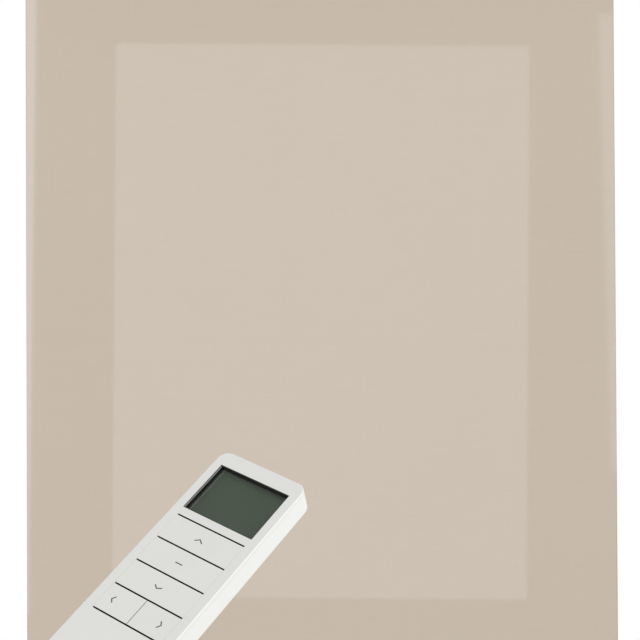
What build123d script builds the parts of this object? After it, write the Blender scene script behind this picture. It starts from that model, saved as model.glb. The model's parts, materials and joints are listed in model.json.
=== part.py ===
"""Motorized roller blind with its handset, as separate pieces.

Frame: millimetres, +X to the right along the roller, +Y into the wall, +Z up.
The origin is the centre of the four wall-screw holes: on the wall face, at the
height of the roller axis and midway between the brackets.
"""
from build123d import *
from math import acos, cos, pi, radians, sin, tan
import os

# Blind
fabric_width = 600.0
fabric_thickness = 0.5
blind_drop = 860.0  # roller axis to the underside of the bottom rail
axis_depth = 38.0  # wall face to roller axis
wound_turns = 3
winding_gap = 0.5  # between one turn of fabric and the next
soft_gap = 0.3  # fabric to what it hangs from or ends at
running_gap = 0.05  # radius of a bore less radius of its shaft
fit_gap = 0.1  # one side of a part pushed into another

# Roller tube
tube_radius = 19.0
tube_wall = 1.2
tube_overhang = 2.0  # tube beyond each edge of the fabric
tube_rib_height = 2.0
tube_rib_width = 3.0
tube_rib_count = 2

# Brackets and covers
plate_thickness = 2.0
bracket_half_height = 31.0
plate_front = 20.0  # roller axis to the front edge of the plate
bracket_corner = 10.0
flange_width = 28.0
screw_hole_radius = 2.6
wall_hole_spacing = 36.0
ceiling_hole_spacing = 26.0
ceiling_hole_middle = 27.0  # wall face to the middle of the ceiling holes
cover_depth = 13.0  # beyond the bracket plate
cover_wall = 2.0
cover_round = 1.5
cover_gap = 0.2
peg_radius = 1.9
peg_inset = 8.0  # front edge of the plate to the pegs
peg_margin = 9.0  # top and bottom of the plate to the pegs

# Idle end
idle_head_radius = 17.0
idle_head_round = 1.0
idle_head_gap = 1.0
idle_plug_length = 40.0
end_flange = 2.0
pin_radius = 4.0
pin_tip = 1.0  # pin beyond the outer face of its bracket
pin_length = 52.0
pin_bevel = 0.8
collar_length = 3.0
collar_clearance = 0.5
bush_wall = 1.95
chamber_radius = 7.0
chamber_wall = 4.0
spring_wire = 0.5  # radius of the wire
spring_turns = 9

# Motor head and casing
head_radius = 18.0
head_length = 14.5
head_gap = 0.5
head_wall = 2.0
head_round = 0.8
spigot_side = 10.0
spigot_reach = 7.0  # beyond the inner face of the bracket
clip_size = 16.0
clip_thickness = 1.0
clip_bite = 0.8
clip_corner = 2.0
socket_width = 9.0
socket_height = 3.2
socket_depth = 7.0
socket_wall = 0.3
socket_back = 1.0
tongue_thickness = 0.7
tongue_margin = 1.2
tongue_inset = 1.6
button_radius = 2.5
button_proud = 0.8
button_length = 5.5
button_flange = 0.7
button_round = 0.4
light_radius = 0.75
light_angle = 205.0
head_board_gap = 1.0  # rim of the round board to the inside of the head
board_thickness = 1.2
crown_length = 16.0
casing_radius = 12.5
casing_wall = 1.0
casing_end_wall = 2.0
casing_in_head = 4.0
cell_radius = 9.2
cell_length = 65.0
cell_count = 3
cell_gap = 0.4
cell_cap_radius = 3.5
cell_cap = 0.6
tray_slot = 14.0
board_gap = 2.0  # cells to the control board
tray_margin = 1.5  # tray beyond the control board
control_board_length = 34.0
control_board_width = 17.6
chip_height = 2.0
chip_size = 6.0
chip_pitch = 10.0

# Gears: two planetary stages inside one ring
gear_module = 0.4
pressure_angle = radians(25)
sun_teeth = 12
planet_teeth = 18
ring_teeth = 48
planet_count = 3
tooth_slack = 0.05
tooth_clearance = 0.1
planet_pin_radius = 1.2
carrier_clearance = 0.6  # rim of a carrier to the ring's teeth
output_disc = 2.5
gear_face_width = 8.8
carrier_gap = 0.6
middle_disc = 2.0
end_play = 0.4
ring_back = 2.0
ring_back_bore = 3.2
output_shaft_radius = 4.0
output_shaft_length = 8.5
output_square = 5.6
output_square_length = 18.0
wheel_length = 16.0
wheel_hole_radius = 3.2
wheel_hole_circle = 10.5
wheel_hole_count = 6
drive_screw_radius = 1.5
drive_screw_length = 12.0
drive_screw_head = 2.8
drive_screw_head_length = 2.0

# Motor
can_radius = 10.0
can_wall = 1.0
can_length = 37.0
can_front = 1.5
motor_shaft_radius = 1.5
magnet_thickness = 1.9
magnet_arc = 130.0
magnet_inset = 4.5
armature_radius = 6.5
armature_slot = 1.4
armature_inset = 5.0
commutator_radius = 3.0
commutator_length = 4.0
motor_cap_length = 3.0
motor_boss_radius = 4.0
motor_boss_length = 1.5

# Bottom rail
rail_width = 11.0
rail_height = 26.0
rail_corner = 3.0
rail_wall = 1.3
spline_radius = 1.8
rail_cap = 3.0
rail_cap_round = 1.0
rail_plug = 8.0

# Handset
handset_width = 50.0
handset_corner = 5.4
handset_chamfer = 0.5
handset_back_radius = 1.8
handset_split = 3.0  # face to the joint between the shells
handset_wall = 1.5
face_plate = 1.6
key_rim_plate = 2.4
key_rim_width = 1.5
handset_top_centre = (-27.21, -749.44, -480.77)
handset_across = (0.80957, -0.49824, -0.31042)
handset_outward = (-0.12991, -0.66775, 0.73296)
screen_side = 4.7  # side edge of the face to the screen opening
screen_height = 29.4
screen_top = 8.5  # top edge of the face to the screen opening
gasket_wall = 0.4
gasket_depth = 0.15  # face to the gasket
window_lap = 1.4
window_thickness = 0.8
module_thickness = 2.4
key_field_top = 42.6  # top edge of the face to the middle of the first groove
key_pitch = 14.85
key_field_side = 5.2  # side edge of the face to the keys
key_rows = 4
groove_width = 0.8
key_side_gap = 0.06
key_split = 0.3
key_thickness = 1.4
key_stem_radius = 2.0
key_stem_end = 3.95  # below the face
mat_thickness = 0.8
mat_hole_gap = 0.6
board_depth = 5.0
handset_board_thickness = 1.0
handset_board_gap = 1.0  # board to the walls of the shell
handset_board_top = 3.0
dome_radius = 2.2
dome_height = 0.2
small_cell_radius = 5.2
small_cell_length = 44.5
small_cell_gap = 0.4
bay_lip = 2.7  # battery door's top edge to the cells
bay_end_gap = 1.5  # far contact to the end wall
bay_floor_gap = 0.35  # cells to the battery door
contact_thickness = 0.4
contact_height = 9.0
contact_stub = 2.5
contact_stub_radius = 2.5
door_half_width = 14.0
door_gap = 0.15
post_margin = 5.5  # side edge of the face to the screw posts
post_inset = 5.0  # battery door's top edge to the screw posts
post_radius = 2.6
back_boss_radius = 3.2
handset_screw_radius = 1.1
handset_screw_head = 2.4
handset_screw_length = 6.5

# Worked out from the sizes above
tube_inner = tube_radius - tube_wall
tube_half = fabric_width / 2 + tube_overhang
flange_outer = tube_half + end_flange
bracket_inner = flange_outer + head_gap + head_length
bracket_reach = axis_depth + plate_front
bracket_outer = bracket_inner + plate_thickness
screw_hole_x = bracket_outer - flange_width / 2
peg_reach = bracket_reach - peg_inset
peg_spread = 2 * (bracket_half_height - peg_margin)
bush_radius = pin_radius + running_gap + bush_wall
collar_radius = chamber_radius - collar_clearance
spring_mean_radius = (pin_radius + chamber_radius) / 2
head_board_radius = head_radius - head_wall - head_board_gap
wound_pitch = fabric_thickness + winding_gap
roll_start = tube_radius + fit_gap
sheet_front = -axis_depth + roll_start + wound_turns * wound_pitch
sheet_middle = sheet_front + fabric_thickness / 2
rail_middle = -blind_drop + rail_height / 2
channel_radius = spline_radius + fabric_thickness + soft_gap
rail_slot = fabric_thickness + 2 * soft_gap
channel_height = rail_height / 2 - rail_wall - channel_radius
spline_height = rail_middle + channel_height
orbit_radius = gear_module * (sun_teeth + planet_teeth) / 2
sun_root = gear_module * sun_teeth / 2 - gear_module - tooth_clearance
sun_tip = gear_module * sun_teeth / 2 + gear_module
planet_root = gear_module * planet_teeth / 2 - gear_module - tooth_clearance
planet_tip = gear_module * planet_teeth / 2 + gear_module
ring_tip = gear_module * ring_teeth / 2 - gear_module
ring_root = gear_module * ring_teeth / 2 + gear_module + tooth_clearance
carrier_radius = ring_tip - carrier_clearance
ring_radius = casing_radius - casing_wall - fit_gap

# Row of pieces in the motor casing, from the head inwards
head_start = flange_outer + head_gap
casing_end = head_start + casing_in_head
cells_end = casing_end - cell_gap
cell_pitch = cell_length + cell_gap
control_board_end = cells_end - cell_count * cell_pitch - board_gap
control_board_start = control_board_end - control_board_length
tray_start = control_board_start - tray_margin
rotor_end = tray_start - end_play
can_end = rotor_end - motor_cap_length - motor_boss_length
can_start = can_end - can_length
ring_end = can_start - ring_back
input_planet_start = ring_end - 2 * end_play - gear_face_width
middle_disc_start = input_planet_start - end_play - middle_disc
output_planet_start = middle_disc_start - carrier_gap - gear_face_width
output_disc_start = output_planet_start - carrier_gap - output_disc
ring_start = output_disc_start - end_play
casing_start = ring_start - fit_gap - casing_end_wall

# Handset: places are measured down from the top edge of the face, and depths from the face
screen_width = handset_width - 2 * screen_side
key_field_width = handset_width - 2 * key_field_side
key_field_bottom = key_field_top + key_rows * key_pitch
key_field_middle = -(key_field_top + key_field_bottom) / 2
key_field_height = key_rows * key_pitch + groove_width
key_field_opening = key_field_width + 2 * key_side_gap
handset_board_width = handset_width - 2 * (handset_wall + handset_board_gap)
handset_board_bottom = key_field_bottom - key_rim_width
door_start = key_field_bottom + groove_width
small_cell_start = door_start + bay_lip
far_contact = small_cell_start + small_cell_length + small_cell_gap + contact_stub
handset_length = far_contact + contact_thickness + bay_end_gap + handset_wall
small_cell_depth = face_plate + door_gap + small_cell_radius
handset_thickness = small_cell_depth + small_cell_radius + bay_floor_gap + handset_wall
mat_top = key_rim_plate + fit_gap
post_x = handset_width / 2 - post_margin
post_y = door_start + post_inset

os.makedirs("parts", exist_ok=True)


def keep(part, name):
    """Label a finished piece and write it to its file."""
    part.label = name
    export_step(part, f"parts/{name}.step")


def across(x, y=-axis_depth, z=0.0):
    """Plane square to the roller; the sketch's x is +Y and its y is +Z."""
    return Plane(origin=(x, y, z), x_dir=(0, 1, 0), z_dir=(1, 0, 0))


def ring(outer, inner):
    Circle(outer)
    Circle(inner, mode=Mode.SUBTRACT)


def notched_disc(radius):
    """Disc that fits in the tube, with a notch for each of the tube's ribs."""
    Circle(radius)
    with PolarLocations(tube_inner, tube_rib_count):
        Rectangle(2 * (tube_rib_height + fit_gap), tube_rib_width + 2 * fit_gap, mode=Mode.SUBTRACT)


# Roller tube, with two ribs inside that the drive wheel turns
with BuildPart() as roller_tube:
    with BuildSketch(across(-tube_half)):
        ring(tube_radius, tube_inner)
        with PolarLocations(tube_inner - tube_rib_height / 2 + tube_wall / 4, tube_rib_count):
            Rectangle(tube_rib_height + tube_wall / 2, tube_rib_width)
    extrude(amount=2 * tube_half)
keep(roller_tube.part, "roller_tube")


# Wound fabric: lower half turns are centred on the roller, and upper ones step out by half a pitch
def spiral_side(first_radius):
    """One side of the wound band, from its inner end to where it leaves the roll."""
    step = wound_pitch / 2
    for turn in range(wound_turns):
        radius = first_radius + turn * wound_pitch
        CenterArc((0, 0), radius, 180, 180)
        CenterArc((step, 0), radius + step, 0, 180)


with BuildPart() as fabric_roll:
    with BuildSketch(across(-fabric_width / 2)):
        with BuildLine():
            spiral_side(roll_start)
            spiral_side(roll_start + fabric_thickness)
            for radius in (roll_start, roll_start + wound_turns * wound_pitch):
                Line((radius, 0), (radius + fabric_thickness, 0))
        make_face()
    extrude(amount=fabric_width)
keep(fabric_roll.part, "fabric_roll")

# Hanging fabric, from the back of the roll down into the slot of the bottom rail
sheet_bottom = spline_height + spline_radius + soft_gap
with BuildPart() as fabric_sheet:
    with BuildSketch(Plane.XY.offset(sheet_bottom)):
        with Locations((0, sheet_middle)):
            Rectangle(fabric_width, fabric_thickness)
    extrude(amount=-soft_gap - sheet_bottom)
keep(fabric_sheet.part, "fabric_sheet")


# Brackets: a plate with a wall flange and a ceiling flange, made for the right end
def bracket(spindle_hole):
    with BuildPart() as plate:
        with BuildSketch(across(bracket_inner, 0, 0)):
            with Locations((-bracket_reach / 2, 0)):
                Rectangle(bracket_reach, 2 * bracket_half_height)
        extrude(amount=plate_thickness)
        fillet(plate.edges().filter_by(Axis.X).group_by(Axis.Y)[0], bracket_corner)
        with BuildSketch(Plane.XZ):
            with Locations((bracket_outer - flange_width / 2, 0)):
                Rectangle(flange_width, 2 * bracket_half_height)
        extrude(amount=plate_thickness)
        with BuildSketch(Plane.XY.offset(bracket_half_height)):
            with Locations((bracket_outer - flange_width / 2, -bracket_reach / 2 + bracket_corner / 2)):
                Rectangle(flange_width, bracket_reach - bracket_corner)
        extrude(amount=-plate_thickness)
        with BuildSketch(Plane.XZ):
            with Locations((screw_hole_x, 0)):
                with GridLocations(0, wall_hole_spacing, 1, 2):
                    Circle(screw_hole_radius)
        extrude(amount=plate_thickness, mode=Mode.SUBTRACT)
        with BuildSketch(Plane.XY.offset(bracket_half_height)):
            with Locations((screw_hole_x, -ceiling_hole_middle)):
                with GridLocations(0, ceiling_hole_spacing, 1, 2):
                    Circle(screw_hole_radius)
        extrude(amount=-plate_thickness, mode=Mode.SUBTRACT)
        with BuildSketch(across(bracket_inner, -peg_reach, 0)):
            with GridLocations(0, peg_spread, 1, 2):
                Circle(peg_radius + fit_gap)
        extrude(amount=plate_thickness, mode=Mode.SUBTRACT)
        with BuildSketch(across(bracket_inner)):
            add(spindle_hole)
        extrude(amount=plate_thickness, mode=Mode.SUBTRACT)
    return plate.part


with BuildSketch() as square_hole:
    Rectangle(spigot_side + 2 * fit_gap, spigot_side + 2 * fit_gap)
with BuildSketch() as round_hole:
    Circle(pin_radius + running_gap)
keep(bracket(square_hole.sketch), "right_bracket")
keep(mirror(bracket(round_hole.sketch), about=Plane.YZ), "left_bracket")


# Covers: a moulded cap over the outer face of each bracket, on two pegs
def cover():
    height = 2 * bracket_half_height + cover_wall
    reach = bracket_reach + cover_wall
    with BuildPart() as cap:
        with BuildSketch(across(bracket_inner + cover_gap, -reach / 2, -cover_wall / 2)):
            Rectangle(reach, height)
        extrude(amount=plate_thickness - cover_gap + cover_depth)
        fillet(cap.edges().filter_by(Axis.X).group_by(Axis.Y)[0], bracket_corner + cover_wall)
        fillet(cap.faces().sort_by(Axis.X)[-1].edges(), cover_round)
        with BuildSketch(across(bracket_inner, -bracket_reach / 2, 0)):
            Rectangle(bracket_reach + 2 * cover_gap, 2 * (bracket_half_height + cover_gap))
        extrude(amount=plate_thickness + cover_gap, mode=Mode.SUBTRACT)
        with BuildSketch(across(bracket_outer, -(bracket_reach + cover_wall) / 2, -cover_wall / 2)):
            RectangleRounded(
                bracket_reach - cover_wall, 2 * bracket_half_height - cover_wall, bracket_corner - cover_wall
            )
        extrude(amount=cover_depth - cover_wall, mode=Mode.SUBTRACT)
        with BuildSketch(across(bracket_inner + cover_gap, -peg_reach, 0)):
            with GridLocations(0, peg_spread, 1, 2):
                Circle(peg_radius)
        extrude(amount=plate_thickness + cover_depth - cover_wall)
    return cap.part


keep(cover(), "right_cover")
keep(mirror(cover(), about=Plane.YZ), "left_cover")

# Idle end: plug with its head, bush, sprung pin and the pin's spring
idle_head_end = -bracket_inner + idle_head_gap
with BuildPart() as idle_plug:
    with BuildSketch(across(-tube_half)):
        notched_disc(tube_inner - fit_gap)
    extrude(amount=idle_plug_length)
    with BuildSketch(across(-flange_outer)):
        Circle(tube_radius)
    extrude(amount=end_flange)
    with BuildSketch(across(idle_head_end)):
        Circle(idle_head_radius)
    extrude(amount=-flange_outer - idle_head_end)
    fillet(idle_plug.faces().sort_by(Axis.X)[0].edges(), idle_head_round)
    with BuildSketch(across(idle_head_end)):
        Circle(bush_radius + running_gap)
    extrude(amount=-flange_outer - idle_head_end, mode=Mode.SUBTRACT)
    with BuildSketch(across(-flange_outer)):
        Circle(chamber_radius)
    extrude(amount=end_flange + idle_plug_length - chamber_wall, mode=Mode.SUBTRACT)
    with BuildSketch(across(-tube_half + idle_plug_length)):
        Circle(pin_radius + soft_gap)
    extrude(amount=-chamber_wall, mode=Mode.SUBTRACT)
keep(idle_plug.part, "idle_plug")

with BuildPart() as idle_bush:
    with BuildSketch(across(idle_head_end)):
        ring(bush_radius, pin_radius + running_gap)
    extrude(amount=-flange_outer - idle_head_end)
keep(idle_bush.part, "idle_bush")

pin_start = -bracket_outer - pin_tip
collar_start = -flange_outer + soft_gap
with BuildPart() as idle_pin:
    with BuildSketch(across(pin_start)):
        Circle(pin_radius)
    extrude(amount=pin_length)
    chamfer(idle_pin.faces().sort_by(Axis.X)[0].edges(), pin_bevel)
    with BuildSketch(across(collar_start)):
        Circle(collar_radius)
    extrude(amount=collar_length)
keep(idle_pin.part, "idle_pin")

spring_start = collar_start + collar_length + spring_wire + fit_gap
spring_end = -tube_half + idle_plug_length - chamber_wall - spring_wire - fit_gap
with BuildPart() as idle_spring:
    with BuildLine() as coil:
        Helix(
            pitch=(spring_end - spring_start) / spring_turns,
            height=spring_end - spring_start,
            radius=spring_mean_radius,
            center=(spring_start, -axis_depth, 0),
            direction=(1, 0, 0),
        )
    with BuildSketch(Plane(origin=coil.line @ 0, z_dir=coil.line % 0)):
        Circle(spring_wire)
    sweep(path=coil.line, is_frenet=True)
keep(idle_spring.part, "idle_spring")

# Motor head: the fixed end of the motor, with the charging inlet, button and light
head_middle = head_start + head_length / 2
cavity_start = casing_end
cavity_end = bracket_inner - head_wall
front_of_head = Plane(origin=(head_middle, -axis_depth, 0), x_dir=(1, 0, 0), z_dir=(0, -1, 0))
below_head = Plane(origin=(head_middle, -axis_depth, 0), x_dir=(1, 0, 0), z_dir=(0, 0, -1))
light_direction = (0, cos(radians(light_angle)), sin(radians(light_angle)))
light_plane = Plane(origin=(head_middle, -axis_depth, 0), x_dir=(1, 0, 0), z_dir=light_direction)
with BuildPart() as motor_head:
    with BuildSketch(across(head_start)):
        Circle(head_radius)
    extrude(amount=head_length)
    fillet(motor_head.edges().filter_by(GeomType.CIRCLE), head_round)
    with BuildSketch(across(head_start)):
        Circle(casing_radius + fit_gap / 2)
    extrude(amount=casing_in_head, mode=Mode.SUBTRACT)
    with BuildSketch(across(cavity_start)):
        Circle(head_radius - head_wall)
    extrude(amount=cavity_end - cavity_start, mode=Mode.SUBTRACT)
    with BuildSketch(across(cavity_end)):
        Rectangle(spigot_side, spigot_side)
    extrude(amount=head_wall + spigot_reach)
    with BuildSketch(across(bracket_outer + fit_gap / 2)):
        Rectangle(spigot_side, spigot_side)
        Rectangle(spigot_side - 2 * clip_bite, spigot_side, mode=Mode.SUBTRACT)
    extrude(amount=clip_thickness + fit_gap, mode=Mode.SUBTRACT)
    with BuildSketch(front_of_head):
        Circle(button_radius + fit_gap)
    extrude(amount=head_radius + button_proud, mode=Mode.SUBTRACT)
    with BuildSketch(below_head):
        RectangleRounded(socket_height + 2 * fit_gap, socket_width + 2 * fit_gap, socket_height / 2)
    extrude(amount=head_radius + button_proud, mode=Mode.SUBTRACT)
    with BuildSketch(light_plane):
        Circle(light_radius + running_gap)
    extrude(amount=head_radius + button_proud, mode=Mode.SUBTRACT)
keep(motor_head.part, "motor_head")

with BuildPart() as program_button:
    with BuildSketch(front_of_head.offset(head_radius + button_proud)):
        Circle(button_radius)
    extrude(amount=-button_length)
    fillet(program_button.faces().sort_by(Axis.Y)[0].edges(), button_round)
    with BuildSketch(front_of_head.offset(head_radius + button_proud - button_length)):
        Circle(button_radius + button_flange)
    extrude(amount=button_flange)
keep(program_button.part, "program_button")

with BuildPart() as status_light:
    with BuildSketch(light_plane.offset(head_radius)):
        Circle(light_radius)
    extrude(amount=-2 * head_wall)
keep(status_light.part, "status_light")

with BuildPart() as charge_socket:
    with BuildSketch(below_head.offset(head_radius - soft_gap)):
        RectangleRounded(socket_height, socket_width, socket_height / 2 - fit_gap)
    extrude(amount=-socket_depth)
    with BuildSketch(below_head.offset(head_radius - soft_gap)):
        RectangleRounded(
            socket_height - 2 * socket_wall,
            socket_width - 2 * socket_wall,
            socket_height / 2 - fit_gap - socket_wall,
        )
    extrude(amount=socket_back - socket_depth, mode=Mode.SUBTRACT)
    with BuildSketch(below_head.offset(head_radius - soft_gap - socket_depth)):
        Rectangle(tongue_thickness, socket_width - 2 * tongue_margin)
    extrude(amount=socket_depth - tongue_inset)
keep(charge_socket.part, "charge_socket")

with BuildPart() as head_board:
    with BuildSketch(across(cavity_end - fit_gap)):
        Circle(head_board_radius)
    extrude(amount=-board_thickness)
keep(head_board.part, "head_board")

with BuildPart() as lock_clip:
    with BuildSketch(across(bracket_outer + fit_gap)):
        RectangleRounded(clip_size, clip_size, clip_corner)
        with Locations((0, -clip_size / 4)):
            Rectangle(spigot_side - 2 * clip_bite + fit_gap, clip_size / 2 + spigot_side, mode=Mode.SUBTRACT)
    extrude(amount=clip_thickness)
keep(lock_clip.part, "lock_clip")

# Crown: runs on the casing and carries the motor end of the tube
with BuildPart() as crown_ring:
    with BuildSketch(across(tube_half)):
        notched_disc(tube_inner - fit_gap)
    extrude(amount=-crown_length)
    with BuildSketch(across(tube_half)):
        Circle(tube_radius)
    extrude(amount=end_flange)
    with BuildSketch(across(flange_outer)):
        Circle(casing_radius + running_gap)
    extrude(amount=-crown_length - end_flange, mode=Mode.SUBTRACT)
keep(crown_ring.part, "crown_ring")

with BuildPart() as motor_casing:
    with BuildSketch(across(casing_start)):
        Circle(casing_radius)
    extrude(amount=casing_end - casing_start)
    with BuildSketch(across(casing_start + casing_end_wall)):
        Circle(casing_radius - casing_wall)
    extrude(amount=casing_end - casing_start - casing_end_wall, mode=Mode.SUBTRACT)
    with BuildSketch(across(casing_start)):
        Circle(output_shaft_radius + running_gap)
    extrude(amount=casing_end_wall, mode=Mode.SUBTRACT)
keep(motor_casing.part, "motor_casing")

# Battery cells, their tray and the control board, in a row inside the casing
with BuildPart() as motor_cells:
    for cell in range(cell_count):
        with BuildSketch(across(cells_end - cell * cell_pitch)):
            Circle(cell_cap_radius)
        extrude(amount=-cell_length)
        with BuildSketch(across(cells_end - cell * cell_pitch - cell_cap)):
            Circle(cell_radius)
        extrude(amount=cell_cap - cell_length)
keep(motor_cells.part, "motor_cells")

with BuildPart() as battery_tray:
    with BuildSketch(across(tray_start)):
        ring(casing_radius - casing_wall - fit_gap, cell_radius + fit_gap)
        with Locations((0, casing_radius)):
            Rectangle(tray_slot, 2 * casing_radius, mode=Mode.SUBTRACT)
    extrude(amount=casing_end - tray_start)
keep(battery_tray.part, "battery_tray")

with BuildPart() as control_board:
    with BuildSketch(Plane.XY.offset(-board_thickness / 2)):
        with Locations((control_board_start + control_board_length / 2, -axis_depth)):
            Rectangle(control_board_length, control_board_width)
    extrude(amount=board_thickness)
    with BuildSketch(Plane.XY.offset(board_thickness / 2)):
        with Locations((control_board_start + control_board_length / 2, -axis_depth)):
            with GridLocations(chip_pitch, 0, 3, 1):
                Rectangle(chip_size, chip_size)
    extrude(amount=chip_height)
keep(control_board.part, "control_board")


# Gear outlines: straight root and tip lines, and one arc through three points for each flank
def involute(angle):
    return tan(angle) - angle


def half_tooth(teeth, radius, slack):
    """Half the angle that a tooth fills at a radius."""
    pitch_radius = gear_module * teeth / 2
    base_radius = pitch_radius * cos(pressure_angle)
    inside = acos(min(1.0, base_radius / radius))
    return pi / (2 * teeth) + involute(pressure_angle) - involute(inside) - slack / (2 * pitch_radius)


def polar(radius, angle):
    return (radius * cos(angle), radius * sin(angle))


def gear_outline(teeth, root, tip, slack, turn):
    """Closed outline of a gear with a tooth centred at the angle turn."""
    base = gear_module * teeth / 2 * cos(pressure_angle)
    foot = max(root, base)
    waist = (foot + tip) / 2
    foot_half = half_tooth(teeth, foot, slack)
    waist_half = half_tooth(teeth, waist, slack)
    tip_half = half_tooth(teeth, tip, slack)
    pitch = 2 * pi / teeth
    for tooth in range(teeth):
        middle = turn + tooth * pitch
        for side in (-1, 1):
            ThreePointArc(
                polar(foot, middle + side * foot_half),
                polar(waist, middle + side * waist_half),
                polar(tip, middle + side * tip_half),
            )
            if foot > root:
                Line(polar(root, middle + side * foot_half), polar(foot, middle + side * foot_half))
        Line(polar(tip, middle - tip_half), polar(tip, middle + tip_half))
        Line(polar(root, middle + foot_half), polar(root, middle + pitch - foot_half))


def planet_angle(index):
    return 2 * pi * index / planet_count


def planet_plane(x, index):
    """Plane square to the roller, with its origin on the axis of one planet."""
    shift_y, shift_z = polar(orbit_radius, planet_angle(index))
    return across(x, -axis_depth + shift_y, shift_z)


def planet(x, index):
    """Planet in mesh at rest: a gap faces the sun, and a gap takes the ring's tooth."""
    with BuildPart() as gear:
        with BuildSketch(planet_plane(x, index)):
            with BuildLine():
                turn = planet_angle(index) + pi / planet_teeth
                gear_outline(planet_teeth, planet_root, planet_tip, tooth_slack, turn)
            make_face()
            Circle(planet_pin_radius + running_gap, mode=Mode.SUBTRACT)
        extrude(amount=gear_face_width)
    return gear.part


def sun(x, length):
    with BuildPart() as gear:
        with BuildSketch(across(x)):
            with BuildLine():
                gear_outline(sun_teeth, sun_root, sun_tip, tooth_slack, 0)
            make_face()
        extrude(amount=length)
    return gear.part


for planet_index in range(planet_count):
    keep(planet(output_planet_start, planet_index), f"output_planet_{planet_index + 1}")
    keep(planet(input_planet_start, planet_index), f"input_planet_{planet_index + 1}")

with BuildPart() as ring_gear:
    with BuildSketch(across(ring_start)):
        Circle(ring_radius)
    extrude(amount=can_start - ring_start)
    with BuildSketch(across(ring_start)):
        with BuildLine():
            gear_outline(ring_teeth, ring_tip, ring_root, -tooth_slack, pi / ring_teeth)
        make_face()
    extrude(amount=ring_end - ring_start, mode=Mode.SUBTRACT)
    with BuildSketch(across(ring_end)):
        Circle(ring_back_bore)
    extrude(amount=ring_back, mode=Mode.SUBTRACT)
keep(ring_gear.part, "ring_gear")

with BuildPart() as output_carrier:
    with BuildSketch(across(output_disc_start)):
        Circle(carrier_radius)
    extrude(amount=output_disc)
    for planet_index in range(planet_count):
        with BuildSketch(planet_plane(output_disc_start, planet_index)):
            Circle(planet_pin_radius)
        extrude(amount=output_disc + gear_face_width + carrier_gap)
    with BuildSketch(across(output_disc_start)):
        Circle(output_shaft_radius)
    extrude(amount=-output_shaft_length)
    with BuildSketch(across(output_disc_start - output_shaft_length)):
        Rectangle(output_square, output_square)
    extrude(amount=-output_square_length)
    with BuildSketch(across(output_disc_start - output_shaft_length - output_square_length)):
        Circle(drive_screw_radius)
    extrude(amount=drive_screw_length, mode=Mode.SUBTRACT)
keep(output_carrier.part, "output_carrier")

with BuildPart() as middle_carrier:
    with BuildSketch(across(middle_disc_start)):
        Circle(carrier_radius)
    extrude(amount=middle_disc)
    for planet_index in range(planet_count):
        with BuildSketch(planet_plane(middle_disc_start, planet_index)):
            Circle(planet_pin_radius)
        extrude(amount=middle_disc + end_play + gear_face_width)
    add(sun(output_planet_start, middle_disc_start - output_planet_start))
keep(middle_carrier.part, "middle_carrier")

# Drive wheel on the squared end of the output shaft, and the screw that holds it
wheel_end = output_disc_start - output_shaft_length - soft_gap
square_end = output_disc_start - output_shaft_length - output_square_length
with BuildPart() as drive_wheel:
    with BuildSketch(across(wheel_end)):
        notched_disc(tube_inner - fit_gap)
        Rectangle(output_square + fit_gap, output_square + fit_gap, mode=Mode.SUBTRACT)
        with PolarLocations(wheel_hole_circle, wheel_hole_count, start_angle=180 / wheel_hole_count):
            Circle(wheel_hole_radius, mode=Mode.SUBTRACT)
    extrude(amount=-wheel_length)
keep(drive_wheel.part, "drive_wheel")

with BuildPart() as drive_screw:
    with BuildSketch(across(square_end)):
        Circle(drive_screw_radius)
    extrude(amount=drive_screw_length)
    with BuildSketch(across(square_end)):
        Circle(drive_screw_head)
    extrude(amount=-drive_screw_head_length)
keep(drive_screw.part, "drive_screw")

# Motor: can, magnets, rotor with the first sun gear, and end cap
with BuildPart() as motor_can:
    with BuildSketch(across(can_start)):
        Circle(can_radius)
    extrude(amount=can_length)
    with BuildSketch(across(can_start + can_front)):
        Circle(can_radius - can_wall)
    extrude(amount=can_length - can_front, mode=Mode.SUBTRACT)
    with BuildSketch(across(can_start)):
        Circle(motor_shaft_radius + running_gap)
    extrude(amount=can_front, mode=Mode.SUBTRACT)
keep(motor_can.part, "motor_can")

magnet_outer = can_radius - can_wall - running_gap
magnet_inner = magnet_outer - magnet_thickness
with BuildPart() as motor_magnets:
    with BuildSketch(across(can_start + magnet_inset)):
        for middle in (0, 180):
            with BuildLine():
                for radius in (magnet_inner, magnet_outer):
                    CenterArc((0, 0), radius, middle - magnet_arc / 2, magnet_arc)
                for end in (middle - magnet_arc / 2, middle + magnet_arc / 2):
                    Line(polar(magnet_inner, radians(end)), polar(magnet_outer, radians(end)))
            make_face()
    extrude(amount=can_length - 2 * magnet_inset)
keep(motor_magnets.part, "motor_magnets")

with BuildPart() as motor_rotor:
    add(sun(input_planet_start, gear_face_width))
    with BuildSketch(across(input_planet_start)):
        Circle(motor_shaft_radius)
    extrude(amount=rotor_end - input_planet_start)
    with BuildSketch(across(can_start + armature_inset)):
        Circle(armature_radius)
        with PolarLocations(armature_radius, planet_count):
            Rectangle(armature_radius, armature_slot, mode=Mode.SUBTRACT)
    extrude(amount=can_length - 2 * armature_inset - commutator_length)
    with BuildSketch(across(can_end - armature_inset - commutator_length)):
        Circle(commutator_radius)
    extrude(amount=commutator_length)
keep(motor_rotor.part, "motor_rotor")

with BuildPart() as motor_end_cap:
    with BuildSketch(across(can_end)):
        Circle(can_radius)
    extrude(amount=motor_cap_length)
    with BuildSketch(across(can_end + motor_cap_length)):
        Circle(motor_boss_radius)
    extrude(amount=motor_boss_length)
    with BuildSketch(across(can_end)):
        Circle(motor_shaft_radius + running_gap)
    extrude(amount=motor_cap_length + motor_boss_length, mode=Mode.SUBTRACT)
keep(motor_end_cap.part, "motor_end_cap")


# Bottom rail: extruded profile with a channel for the fabric's spline, and two end caps
def rail_plane(x):
    return across(x, sheet_middle, rail_middle)


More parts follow.
